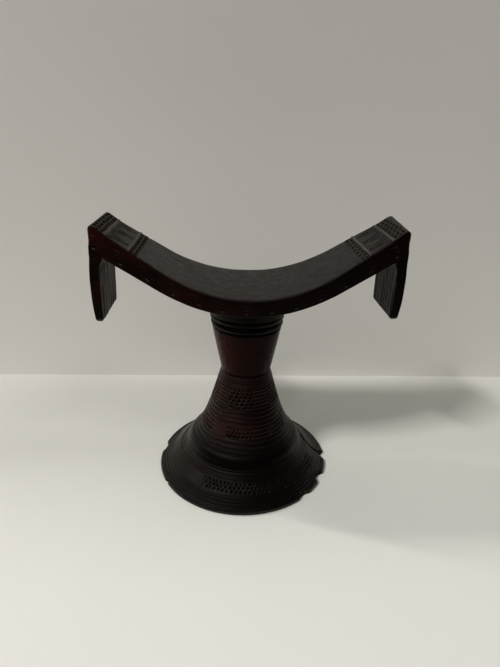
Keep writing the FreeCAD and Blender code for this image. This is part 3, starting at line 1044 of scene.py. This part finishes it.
def damaged(foot):
    """Takes the chips and the split out of the foot."""
    turns, radii = rim_probes()
    rim = high("foot")[1]
    bare = broken_wood()
    deep = radii < rim - CHIP_DEEPEST
    centred = np.where(turns > 180, turns - 360, turns)
    split_turn = centred[deep].mean()
    split_start = split_start_at(split_turn)
    whole = radii.copy()
    whole[deep] = np.interp(turns[deep], turns[~deep], radii[~deep], period=360)
    start = int(np.argmax(whole > rim - 0.05)) + 4  # one degree past a chip
    turns, whole = np.roll(turns, -start), np.roll(whole, -start)
    turns = np.where(np.arange(len(turns)) >= len(turns) - start, turns + 360, turns)
    chipped = whole < rim - 0.15
    edges = np.flatnonzero(np.diff(chipped.astype(int)))
    cutters = [split_cutter(split_turn + SPLIT_SHIFT, split_start, rim, split_wood())]
    for index, (first, last) in enumerate(zip(edges[::2], edges[1::2])):
        piece = slice(max(first - 2, 0), last + 4)
        chip_radii = whole[piece].copy()
        chip_radii[0] = chip_radii[-1] = rim + 1
        chip_turns = turns[piece]
        if abs(chip_turns.mean() - 360 - split_turn) < SPLIT_CHIP_REACH:
            chip_turns = chip_turns + SPLIT_SHIFT
        cutters.append(chip_cutter(index, chip_turns, chip_radii, rim, bare))
    for tool in cutters:
        cut = foot.modifiers.new(tool.name, "BOOLEAN")
        cut.operation = "DIFFERENCE"
        cut.solver = "EXACT"
        cut.material_mode = "TRANSFER"
        cut.object = tool
    graph = bpy.context.evaluated_depsgraph_get()
    result = bpy.data.meshes.new_from_object(foot.evaluated_get(graph))
    foot.modifiers.clear()
    foot.data = result
    for tool in cutters:
        bpy.data.objects.remove(tool)
    return foot


# ---------------------------------------------------------------- the headrest

stands_for(make_stem(), "stem")
stands_for(make_neck(), "neck")
stands_for(make_collar(), "collar")
stands_for(damaged(make_foot()), "foot")
stands_for(make_saddle(), "saddle")
stands_for(make_lug("left_lug", -1), "left_lug")
stands_for(make_lug("right_lug", 1), "right_lug")


# ---------------------------------------------------------------- floor, wall, light, camera

WALL_Y = 123.0
WALL_TOP = 420.0
WALL_HALF = 900.0
FLOOR_HALF = 3000.0
FLOOR_FRONT = -150.0  # past this the floor is dark to the headrest's reflections


def board(name, corners, material):
    """A flat part of the backdrop."""
    mesh_object(name, np.array(corners), [(0, 1, 2, 3)], material)


def paint(name, tone, mottling):
    surface = Surface(name)
    clouds = surface.noise((60, 60, 60), detail=3.0)
    darker = colour(*[c * (1 - mottling) for c in tone[:3]])
    surface.finish(base=surface.mixed(clouds, tone, darker), roughness=0.75, gloss=0.2)
    return surface


def blended(surface, share, first, second):
    """A shader between two shaders."""
    return surface.node("ShaderNodeMixShader", {0: share, 1: first.outputs[0], 2: second.outputs[0]})


def clear_from_behind(surface, shader):
    """Lets the camera see through a board's back, so that the headrest shows from every side."""
    behind = surface.node("ShaderNodeNewGeometry").outputs["Backfacing"]
    seen_behind = surface.maths("MULTIPLY", behind, surface.camera_ray())
    clear = surface.node("ShaderNodeBsdfTransparent")
    mix = blended(surface, seen_behind, shader, clear)
    surface.put(mix.outputs[0], surface.tree.nodes["Material Output"].inputs["Surface"])
    return surface.material


def floor_material():
    """Pale board. Reflections and bounced light see it end in front of the headrest."""
    surface = paint("floor_board", colour(0.80, 0.79, 0.75), 0.03)
    beyond = surface.maths("LESS_THAN", surface.axis(surface.place, "Y"), FLOOR_FRONT * MM)
    hidden = surface.maths("MULTIPLY", beyond, surface.maths("SUBTRACT", 1.0, surface.camera_ray()))
    dark = surface.node("ShaderNodeBsdfDiffuse", {"Color": colour(0.05, 0.03, 0.02)})
    return clear_from_behind(surface, blended(surface, hidden, surface.shader, dark))


def wall_material():
    surface = paint("wall_board", colour(0.85, 0.835, 0.795), 0.02)
    return clear_from_behind(surface, surface.shader)


board("floor", [(-FLOOR_HALF, -FLOOR_HALF, 0), (FLOOR_HALF, -FLOOR_HALF, 0),
                (FLOOR_HALF, FLOOR_HALF, 0), (-FLOOR_HALF, FLOOR_HALF, 0)], floor_material())
board("wall", [(-WALL_HALF, WALL_Y, 0), (WALL_HALF, WALL_Y, 0),
               (WALL_HALF, WALL_Y, WALL_TOP), (-WALL_HALF, WALL_Y, WALL_TOP)], wall_material())


LAMP_COLOUR = (1.0, 0.985, 0.955)


def area_light(name, place, target, size, power):
    """A soft lamp. Its place, target and size are in metres. It shows in no reflection."""
    light = bpy.data.lights.new(name, "AREA")
    light.shape = "RECTANGLE"
    light.size, light.size_y = size
    light.energy = power
    light.color = LAMP_COLOUR
    lamp = bpy.data.objects.new(name, light)
    lamp.location = place
    lamp.rotation_euler = (Vector(target) - Vector(place)).to_track_quat("-Z", "Y").to_euler()
    lamp.visible_glossy = False
    bpy.context.scene.collection.objects.link(lamp)
    return lamp


area_light("front_left_tube", (-1.85, -1.4, 2.65), (0, 0, 0.05), (0.7, 0.14), 66.0)
area_light("front_right_tube", (1.15, -1.55, 2.6), (0, 0, 0.05), (1.0, 0.16), 12.0)
area_light("back_left_tube", (-1.9, 0.62, 1.7), (0, 0, 0.05), (0.08, 0.7), 27.0)
ceiling = area_light("ceiling_gloss", (-0.85, -0.4, 1.3), (-0.2, -0.1, 0.05), (1.9, 1.2), 5.5)
ceiling.visible_glossy = True  # it only shines on the wood
ceiling.visible_diffuse = False


RIGHT_SHARE = 0.32  # how bright the room is on the right, against the left
BACKDROP = 0.42  # how bright the room looks where the camera sees past the boards


def make_world():
    world = bpy.data.worlds.new("room")
    bpy.context.scene.world = world
    world.use_nodes = True
    graph = Graph(world.node_tree, "Generated")

    def ranged(name, *ends):
        return graph.spread(graph.axis(graph.place, name), *ends, curve="SMOOTHSTEP")

    depth = ranged("Y", -0.25, 0.6, 0.012, 0.5)
    overhead = ranged("Z", 0.3, 0.95, 0.0, 0.22)
    sideways = ranged("X", -0.1, 0.8, 1.0, RIGHT_SHARE)
    strength = graph.maths("MULTIPLY", graph.maths("MAXIMUM", depth, overhead), sideways)
    seen = graph.node("ShaderNodeMix", {0: graph.camera_ray(), 2: strength, 3: BACKDROP})
    background = graph.tree.nodes["Background"]
    graph.put(seen.outputs[0], background.inputs["Strength"])
    background.inputs["Color"].default_value = colour(1.0, 0.975, 0.93)


make_world()

# The camera stands in front, a little left, and looks down; it is turned slightly clockwise.
CAMERA_PLACE = (-14.74, -294.68, 223.08)
CAMERA_PITCH = 23.268
CAMERA_YAW = 3.272
CAMERA_ROLL = 1.829
CAMERA_LENS = 27.04
SENSOR = 36.0


def make_camera():
    pitch, yaw, roll = (math.radians(a) for a in (CAMERA_PITCH, CAMERA_YAW, CAMERA_ROLL))
    ahead = Vector((math.sin(yaw), math.cos(yaw), 0))
    forward = ahead * math.cos(pitch) - Vector((0, 0, math.sin(pitch)))
    level_right = Vector((math.cos(yaw), -math.sin(yaw), 0))
    level_up = level_right.cross(forward)
    right = level_right * math.cos(roll) + level_up * math.sin(roll)
    up = level_up * math.cos(roll) - level_right * math.sin(roll)
    data = bpy.data.cameras.new("camera")
    data.lens = CAMERA_LENS
    data.sensor_width = SENSOR
    data.clip_start = 0.01
    camera = bpy.data.objects.new("camera", data)
    bpy.context.scene.collection.objects.link(camera)
    turn = Matrix((right, up, -forward)).transposed().to_4x4()
    camera.matrix_world = Matrix.Translation(Vector(CAMERA_PLACE) * MM) @ turn
    bpy.context.scene.camera = camera


make_camera()


# How dark tones come out, as (scene light, shown light): a camera that sinks its blacks.
TONES = ((0.012, 0.0055), (0.03, 0.0205), (0.06, 0.049), (0.12, 0.114))


def set_tones():
    settings = bpy.context.scene.view_settings
    settings.view_transform = "Standard"
    settings.use_curve_mapping = True
    curve = settings.curve_mapping.curves[3]
    for light, shown in TONES:
        curve.points.new(light, shown)
    settings.curve_mapping.update()


set_tones()
